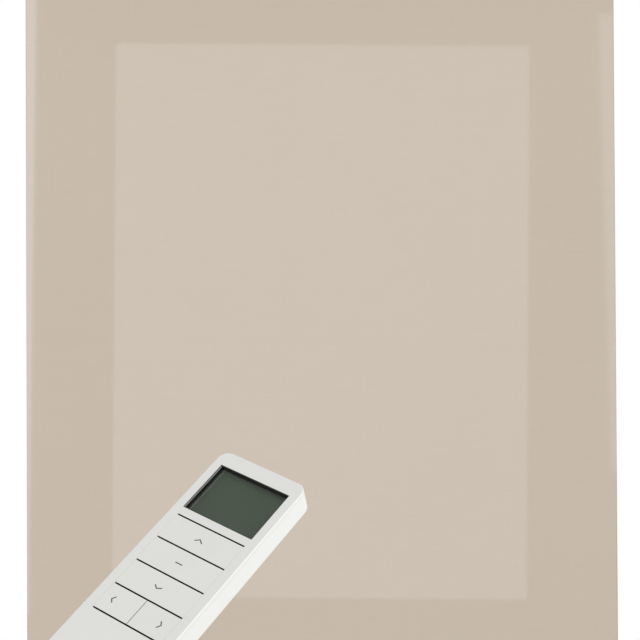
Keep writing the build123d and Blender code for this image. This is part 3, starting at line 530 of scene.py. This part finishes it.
def gasket_rubber(name):
    """Black rubber with a fine grain; its lip at the screen's left is greyed as painted light."""
    material, tree, shader = new_material(name)
    point = place(tree)
    grain = noise(tree, point, gasket_grain, detail=2.0)
    cloud = noise(tree, point, gasket_cloud)
    across, _, out = on_handset(tree)
    # Painted light: the left lip is greyed where light would fall on that wall, darker along its top
    left = maths(tree, "LESS_THAN", across, -lip_side)
    upper = rising(tree, out, -lip_depth - painted_shading_fade, -lip_depth)
    top = rising(tree, out, -lip_top - painted_shading_fade, -lip_top)
    lip = blend_colours(tree, top, painted_lip_light, lip_top_colour)
    tone = shade(
        tree, blend_colours(tree, product(tree, left, upper), gasket_black, lip),
        between(tree, grain, *gasket_grain_shades),
        between(tree, cloud, *gasket_cloud_shades),
    )
    fill(tree, shader, {
        "Base Color": tone,
        "Roughness": between(tree, cloud, *gasket_gloss),
        "Normal": bump(tree, grain, gasket_height),
    })
    return material


# Screen's window
rub_pull, rub_size, haze_size = (1, 0.3, 1), 0.8 * mm, 9 * mm
haze_tint, clear_tint, rub_shades = (0.95, 0.97, 0.95), (0.98, 0.99, 0.98), (0.985, 1.0)


def clear_acrylic(name):
    """Clear window: what is behind it shows through, dimmed a little by haze and faint rub marks."""
    material, tree, shader = new_material(name)
    rub = noise(tree, place(tree, rub_pull), rub_size, detail=3.0)
    haze = noise(tree, place(tree), haze_size)
    tint = shade(tree, blend_colours(tree, haze, haze_tint, clear_tint), between(tree, rub, *rub_shades))
    show(tree, shader, add(tree, "ShaderNodeBsdfTransparent", {"Color": tint}))
    return material


# Weave: sizes of its marks, the shades that each one runs between, and the light that comes through
wander_size, wander_turn = 4 * mm, 0.3  # slow swing of the threads, in radians of their wave
crossing_soft = 0.15
slub_size, slub_pull = 0.7 * mm, 0.02  # a small pull draws a mark out along its thread
band_size, band_pull = 5 * mm, 0.01
cloth_cloud, fibre_size = 90 * mm, 0.12 * mm
heat_start, heat_full = 1.2 * mm, 0.6 * mm  # from the fabric's cut edge
# the thread shade darkens each thread down its sides: painted shade of the weave's relief
painted_thread_shade, fibre_shades, heat_shades = (0.93, 1.04), (0.97, 1.03), (1.0, 0.93)
weft_slub_shades, warp_slub_shades = (0.97, 1.03), (0.975, 1.025)
weft_band_shades, warp_band_shades = (0.985, 1.015), (0.99, 1.01)
cloth_cloud_shades = (0.985, 1.015)
slub_relief = 0.5
weave_height, weave_strength, weave_roughness = 0.05 * mm, 0.6, 0.2
gap_through, slub_through = (0.97, 1.12), (0.96, 1.03)
gap_share = 0.05


def woven(name, uv=False):
    """Fine plain weave that lets some light through, with slubs and a heat-cut edge."""
    material, tree, shader = new_material(name)
    coordinates = add(tree, "ShaderNodeTexCoord")
    parts = add(tree, "ShaderNodeSeparateXYZ", {0: coordinates.outputs["UV" if uv else "Object"]})
    warp_place = parts.outputs["X"]
    weft_place = parts.outputs["Y" if uv else "Z"]
    flat = add(tree, "ShaderNodeCombineXYZ", {0: warp_place, 1: weft_place}).outputs[0]

    def stretched(x, y):
        return add(tree, "ShaderNodeVectorMath", {0: flat, 1: (x, y, 1)}, operation="MULTIPLY").outputs[0]

    wander = between(tree, noise(tree, flat, wander_size, detail=2.0), -wander_turn, wander_turn)

    def thread(along):
        turns = product(tree, along, pi / thread_pitch)
        return maths(tree, "SINE", maths(tree, "ADD", turns, wander))

    warp, weft = thread(warp_place), thread(weft_place)
    warp_crown = maths(tree, "ABSOLUTE", warp)
    weft_crown = maths(tree, "ABSOLUTE", weft)
    warp_on_top = rising(tree, product(tree, warp, weft), -crossing_soft, crossing_soft)
    height = blend_numbers(tree, warp_on_top, weft_crown, warp_crown)
    gap = product(tree, maths(tree, "SUBTRACT", 1.0, warp_crown), maths(tree, "SUBTRACT", 1.0, weft_crown))

    weft_slub = noise(tree, stretched(slub_pull, 1), slub_size, detail=2.0)
    warp_slub = noise(tree, stretched(1, slub_pull), slub_size, detail=2.0)
    weft_band = noise(tree, stretched(band_pull, 1), band_size, detail=3.0)
    warp_band = noise(tree, stretched(1, band_pull), band_size, detail=3.0)
    cloud = noise(tree, flat, cloth_cloud)
    fibre = noise(tree, flat, fibre_size, detail=1.0)
    side = maths(tree, "ABSOLUTE", warp_place)
    edge = rising(tree, side, fabric_half_width - heat_start, fabric_half_width - heat_full)
    tone = shade(
        tree, fabric_colour,
        between(tree, height, *painted_thread_shade),
        between(tree, weft_slub, *weft_slub_shades),
        between(tree, warp_slub, *warp_slub_shades),
        between(tree, weft_band, *weft_band_shades),
        between(tree, warp_band, *warp_band_shades),
        between(tree, cloud, *cloth_cloud_shades),
        between(tree, fibre, *fibre_shades),
        between(tree, edge, *heat_shades),
    )
    relief = maths(tree, "ADD", height, product(tree, weft_slub, slub_relief))
    normal = bump(tree, relief, weave_height, strength=weave_strength)
    through_tone = shade(
        tree, fabric_through,
        between(tree, gap, *gap_through),
        between(tree, weft_slub, *slub_through),
    )
    front_inputs = {"Color": tone, "Roughness": weave_roughness, "Normal": normal}
    front = add(tree, "ShaderNodeBsdfDiffuse", front_inputs).outputs[0]
    behind = add(tree, "ShaderNodeBsdfTranslucent", {"Color": through_tone, "Normal": normal}).outputs[0]
    share = maths(tree, "ADD", fabric_share, product(tree, gap, gap_share))
    show(tree, shader, add(tree, "ShaderNodeMixShader", {0: share, 1: front, 2: behind}))
    return material


# Finishes
plain_white = (0.80, 0.80, 0.79)
handset_white = (0.797, 0.797, 0.772)

white_steel = coated("powder_coat", plain_white)
white_cover = moulded("cover_plastic", plain_white, roughness=0.5, depth=0.012 * mm)
tube_metal = metal("extruded_aluminium", (0.72, 0.73, 0.74))
rail_paint = coated("rail_paint", (0.74, 0.72, 0.68), roughness=0.34, peel=0.9 * mm)
spline_plastic = moulded("spline_plastic", (0.72, 0.71, 0.67), roughness=0.3, glow=0.4)
acetal = moulded("acetal", (0.74, 0.74, 0.71), roughness=0.35, glow=0.3)
black_plastic = moulded("black_plastic", (0.022, 0.022, 0.024), roughness=0.5)
plated_steel = metal("plated_steel", (0.60, 0.60, 0.58))
spring_steel = metal("spring_steel", (0.46, 0.46, 0.46), along=(1, 1, 0.1))
ferrite = metal("ferrite", (0.10, 0.10, 0.11), roughness=0.6, along=(1, 1, 1), pits=0.4)
green_board = circuit_board("circuit_board")
cell_wrap = shrink_wrap("cell_wrap")
brass = metal("brass", (0.74, 0.55, 0.25), roughness=0.28)
shell_white = moulded(
    "handset_plastic", handset_white, roughness=0.42, depth=0.006 * mm, edge=0.12 * mm, painted=True
)
key_white = moulded(
    "key_plastic", handset_white, roughness=0.45, depth=0.006 * mm, edge=0.05 * mm, painted=True
)
rubber = moulded("rubber", (0.018, 0.018, 0.018), roughness=0.75, grain=0.4 * mm, depth=0.02 * mm)
print_grey = moulded("print_ink", (0.10, 0.10, 0.10), roughness=0.6, grain=0.15 * mm, edge=0.05 * mm)
screen_panel = crystal_panel("crystal_panel")
screen_clear = clear_acrylic("clear_acrylic")
screen_rubber = gasket_rubber("gasket_rubber")
light_pipe = moulded("light_pipe", (0.80, 0.86, 0.80), roughness=0.3, glow=0.5, clear=0.3)
hanging_weave = woven("hanging_weave")
wound_weave = woven("wound_weave", uv=True)

finishes = {
    "painted_steel": white_steel,
    "cover_plastic": white_cover,
    "tube_aluminium": tube_metal,
    "rail_aluminium": rail_paint,
    "clear_spline": spline_plastic,
    "acetal": acetal,
    "dark_plastic": black_plastic,
    "zinc_steel": plated_steel,
    "spring_steel": spring_steel,
    "magnet": ferrite,
    "circuit_board": green_board,
    "cell_wrap": cell_wrap,
    "brass": brass,
    "handset_plastic": shell_white,
    "key_plastic": key_white,
    "screen_clear": screen_clear,
    "screen_panel": screen_panel,
    "mat_rubber": rubber,
    "light_pipe": light_pipe,
    "blind_fabric": hanging_weave,
}
for part in frame["record"]["subparts"]:
    node = frame["nodes"][part["node"]]
    for holder in node.material_slots:
        holder.link = "OBJECT"
        holder.material = finishes[part["material_slot"]]
for holder in frame["nodes"]["screen_gasket"].material_slots:
    holder.material = screen_rubber


# Mesh helper
def new_piece(name, vertices, faces, material, smooth=False):
    mesh = bpy.data.meshes.new(name)
    mesh.from_pydata([tuple(v) for v in vertices], [], faces)
    mesh.materials.append(material)
    if smooth:
        mesh.shade_smooth()
    piece = bpy.data.objects.new(name, mesh)
    bpy.context.scene.collection.objects.link(piece)
    return piece


# Hanging fabric: nearly flat, with a slow ripple that dies out at the roll and the rail
def hanging_point(column, row):
    across = column / sheet_columns
    down = row / sheet_rows
    x = (2 * across - 1) * fabric_half_width
    z = sheet_top + down * (sheet_bottom - sheet_top)
    calm = sin(pi * down)
    wave = sum(
        strength * sin(half_waves * pi * across + drift * down)
        for half_waves, drift, strength in ripple_waves
    )
    return Vector((x, roller_axis.y + sheet_distance + ripple * calm * wave / ripple_total, z))


def hanging_fabric():
    vertices = [hanging_point(c, r) for r in range(sheet_rows + 1) for c in range(sheet_columns + 1)]
    width = sheet_columns + 1
    faces = [
        (r * width + c, (r + 1) * width + c, (r + 1) * width + c + 1, r * width + c + 1)
        for r in range(sheet_rows)
        for c in range(sheet_columns)
    ]
    for column in (0, sheet_columns):
        first = len(vertices)
        for row in range(sheet_rows + 1):
            middle = hanging_point(column, row)
            vertices.append(middle - Vector((0, cut_edge / 2, 0)))
            vertices.append(middle + Vector((0, cut_edge / 2, 0)))
        for row in range(sheet_rows):
            start = first + 2 * row
            faces.append((start, start + 1, start + 3, start + 2))
    return new_piece("hanging_fabric", vertices, faces, hanging_weave, smooth=True)


hanging = hanging_fabric()
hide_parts("fabric_sheet")
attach(hanging, "headrail")
sheet_y = roller_axis.y + sheet_distance
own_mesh(hanging)


# Wound fabric: a closed band that follows the spiral inwards from where the fabric leaves the roll
def spiral_radius(turn):
    return sheet_distance - turn * (sheet_distance - wound_inner) / wound_turns


def wound_fabric():
    corners = 4  # of the band, cut across
    steps = wound_turns * steps_per_turn
    vertices, run = [], [0.0]
    for step in range(steps + 1):
        turn = step / steps_per_turn
        ray = Vector((0, cos(2 * pi * turn), sin(2 * pi * turn)))
        for radius in (spiral_radius(turn) + wound_thickness / 2, spiral_radius(turn) - wound_thickness / 2):
            for x in (-fabric_half_width, fabric_half_width):
                vertices.append(roller_axis + radius * ray + Vector((x, 0, 0)))
        run.append(run[-1] + 2 * pi * spiral_radius(turn) / steps_per_turn)
    faces = [(0, 1, 3, 2)]
    for step in range(steps):
        a, b = corners * step, corners * (step + 1)
        faces += [
            (a, b, b + 1, a + 1), (a + 2, a + 3, b + 3, b + 2),
            (a, a + 2, b + 2, b), (a + 1, b + 1, b + 3, a + 3),
        ]
    last = corners * steps
    faces.append((last, last + 2, last + 3, last + 1))
    piece = new_piece("wound_fabric", vertices, faces, wound_weave)
    layer = piece.data.uv_layers.new(name="cloth")
    for loop in piece.data.loops:
        vertex = piece.data.vertices[loop.vertex_index]
        layer.data[loop.index].uv = (vertex.co.x, run[loop.vertex_index // corners])
    for face in piece.data.polygons:
        face.use_smooth = abs(face.normal.x) < end_normal
    return piece, run[steps]


wound, wound_length = wound_fabric()
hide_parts("fabric_roll")
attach(wound, "roller")


# Pin spring: the model's coil as a piece of its own, riding on the roller
def pin_spring():
    steps = spring_turns * spring_steps
    advance = (spring_end - spring_start) / spring_turns
    vertices, faces = [], []
    for step in range(steps + 1):
        angle = 2 * pi * step / spring_steps
        outward = Vector((0, -sin(angle), cos(angle)))
        wire_run = Vector((advance / (2 * pi), -spring_radius * cos(angle), -spring_radius * sin(angle)))
        sideways = wire_run.normalized().cross(outward)
        along = Vector((spring_start + advance * step / spring_steps, 0, 0))
        centre = roller_axis + spring_radius * outward + along
        for side in range(wire_sides):
            turn = 2 * pi * side / wire_sides
            vertices.append(centre + spring_wire * (cos(turn) * outward + sin(turn) * sideways))
    for step in range(steps):
        ring = step * wire_sides
        for side in range(wire_sides):
            a, b = ring + side, ring + (side + 1) % wire_sides
            faces.append((a, b, b + wire_sides, a + wire_sides))
    faces.append(tuple(range(wire_sides))[::-1])
    faces.append(tuple(range(steps * wire_sides, (steps + 1) * wire_sides)))
    return new_piece("pin_spring", vertices, faces, spring_steel, smooth=True)


spring = pin_spring()
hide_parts("idle_spring")
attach(spring, "roller")
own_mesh(spring)


# Printed signs on the keys
def face_point(x, y, height):
    return handset_origin + x * handset_across + y * handset_up + height * handset_outward


def stroke_outline(points):
    """Both sides of a line of the print's width, with round ends."""
    half = print_width / 2
    runs = [(b - a).normalized() for a, b in zip(points, points[1:])]
    sides = [Vector((-run.y, run.x)) for run in runs]
    left = [points[0] + half * sides[0]]
    right = [points[0] - half * sides[0]]
    for point, before, after in zip(points[1:], sides, sides[1:]):
        mitre = (before + after) * half / (1 + before.dot(after))
        left.append(point + mitre)
        right.append(point - mitre)
    left.append(points[-1] + half * sides[-1])
    right.append(points[-1] - half * sides[-1])

    def cap(centre, side, run):
        angles = [pi * step / cap_steps for step in range(1, cap_steps)]
        return [centre + half * (cos(angle) * side + sin(angle) * run) for angle in angles]

    far_cap = cap(points[-1], sides[-1], runs[-1])
    near_cap = cap(points[0], -sides[0], -runs[0])
    return left + far_cap + right[::-1] + near_cap


def sign(name, key, places):
    outline = stroke_outline([Vector(point) * mm for point in places])
    count = len(outline)
    vertices = [face_point(p.x, p.y, height) for height in (print_height, 0) for p in outline]
    faces = [tuple(range(count))[::-1], tuple(range(count, 2 * count))]
    faces += [(i, (i + 1) % count, count + (i + 1) % count, count + i) for i in range(count)]
    piece = new_piece(name, vertices, faces, print_grey)
    mesh = bmesh.new()
    mesh.from_mesh(piece.data)
    bmesh.ops.recalc_face_normals(mesh, faces=mesh.faces)
    mesh.to_mesh(piece.data)
    mesh.free()
    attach(piece, key)


# Each sign's key, and the points of its line in millimetres
signs = {
    "up_sign": ("up_key", ((-2.5, -50.9), (-0.5, -49.45), (1.5, -50.9))),
    "stop_sign": ("stop_key", ((-2.25, -64.9), (1.3, -64.85))),
    "down_sign": ("down_key", ((-2.4, -79.1), (-0.6, -80.4), (1.5, -79.3))),
    "previous_sign": ("previous_key", ((-13.6, -93.05), (-14.75, -94.7), (-13.5, -96.15))),
    "next_sign": ("next_key", ((12.85, -92.95), (14.0, -94.55), (12.8, -96.35))),
}
for name, (key, places) in signs.items():
    sign(name, key, places)


# Black ring round the screen's panel, behind the window, darkening the band just inside the opening's edge
def screen_mask():
    def ring(half_width, top, bottom, depth):
        places = ((-half_width, -top), (half_width, -top), (half_width, -bottom), (-half_width, -bottom))
        return [face_point(x, y, -depth) for x, y in places]

    vertices = []
    for depth in (mask_depth, mask_depth + mask_thickness):
        vertices += ring(mask_outer_half_width, mask_outer_top, mask_outer_bottom, depth)
        vertices += ring(mask_inner_half_width, mask_inner_top, mask_inner_bottom, depth)
    corners = 4  # of each ring
    inner, outer_back, inner_back = corners, 2 * corners, 3 * corners
    faces = []
    for a in range(corners):
        b = (a + 1) % corners
        faces += [
            (b, a, a + inner, b + inner),
            (a + outer_back, b + outer_back, b + inner_back, a + inner_back),
            (a, b, b + outer_back, a + outer_back),
            (b + inner, a + inner, a + inner_back, b + inner_back),
        ]
    piece = new_piece("screen_mask", vertices, faces, black_plastic)
    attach(piece, "handset")


screen_mask()


# Floor
def floor_finish():
    material, tree, shader = new_material("floor_finish")
    point = place(tree)
    patches = noise(tree, point, floor_patch)
    fill(tree, shader, {
        "Base Color": shade(tree, plain_white, between(tree, patches, *floor_shades)),
        "Roughness": between(tree, noise(tree, point, floor_grain), *floor_gloss),
    })
    return material


floor_corners = [
    (x, y, floor_height)
    for x, y in (
        (-floor_half_width, floor_front), (floor_half_width, floor_front),
        (floor_half_width, floor_back), (-floor_half_width, floor_back),
    )
]
new_piece("floor", floor_corners, [(0, 1, 2, 3)], floor_finish())


# Light
def area_lamp(name, centre, direction, along, width, height, power, colour):
    """A rectangle that shines in the direction, with its height along the other vector."""
    lamp = bpy.data.lights.new(name, "AREA")
    lamp.shape = "RECTANGLE"
    lamp.size = width
    lamp.size_y = height
    lamp.energy = power
    lamp.color = colour
    holder = bpy.data.objects.new(name, lamp)
    backward = -direction.normalized()
    upward = along.normalized()
    holder.matrix_world = turned(upward.cross(backward), upward, backward, centre)
    holder.visible_camera = False
    holder.visible_glossy = False
    bpy.context.scene.collection.objects.link(holder)


def turned(x_axis, y_axis, z_axis, origin):
    turn = Matrix((x_axis, y_axis, z_axis)).transposed().to_4x4()
    return Matrix.Translation(origin) @ turn


into_room = Vector((0, -1, 0))
window_middle = (window_left + window_right) / 2
window_place = Vector((window_middle, sheet_y + window_gap, (window_top + window_bottom) / 2))
area_lamp(
    "window_light", window_place, into_room, Vector((sin(window_lean), 0, cos(window_lean))),
    window_right - window_left, window_top - window_bottom, window_power, window_colour,
)


def edge_glow(name, side, glow):
    """The light that leaks past the fabric's edge: a narrow lamp that leans outwards at its bottom."""
    ends = [
        Vector((side * (inner + glow_width / 2), sheet_y + glow["gap"], height))
        for inner, height in zip(glow["inner"], glow["ends"])
    ]
    along = ends[0] - ends[1]
    middle = (ends[0] + ends[1]) / 2
    area_lamp(name, middle, into_room, along, glow_width, along.length, glow["power"], window_colour)


edge_glow("left_glow", -1, left_glow)
edge_glow("right_glow", 1, right_glow)

sun = bpy.data.lights.new("key_light", "SUN")
sun.energy = key_strength
sun.angle = key_softness
sun_holder = bpy.data.objects.new("key_light", sun)
sun_holder.rotation_euler = key_direction.to_track_quat("Z", "Y").to_euler()
bpy.context.scene.collection.objects.link(sun_holder)


# World: soft light all round, and plain white to the camera
def set_world():
    world = bpy.data.worlds.new("studio")
    bpy.context.scene.world = world
    world.use_nodes = True
    tree = world.node_tree
    rays = add(tree, "ShaderNodeLightPath").outputs
    seen = maths(tree, "MAXIMUM", rays["Is Camera Ray"], rays["Is Glossy Ray"])
    seen = maths(tree, "MAXIMUM", seen, rays["Is Transmission Ray"])
    strength = between(tree, seen, room_light, 1.0)
    fill(tree, tree.nodes["Background"], {"Color": opaque((1, 1, 1)), "Strength": strength})


set_world()
scene = bpy.context.scene
scene.view_settings.view_transform = "Standard"

camera = bpy.data.cameras.new("camera")
camera.lens = camera_lens
camera.sensor_width = camera_sensor
camera.clip_start = camera_near
camera.clip_end = camera_far
camera_holder = bpy.data.objects.new("camera", camera)
right = Vector((
    cos(camera_roll), sin(camera_roll) * sin(camera_rise), -sin(camera_roll) * cos(camera_rise),
))
upright = Vector((
    sin(camera_roll), -cos(camera_roll) * sin(camera_rise), cos(camera_roll) * cos(camera_rise),
))
camera_holder.matrix_world = turned(right, upright, right.cross(upright), camera_place)
scene.collection.objects.link(camera_holder)
scene.camera = camera_holder
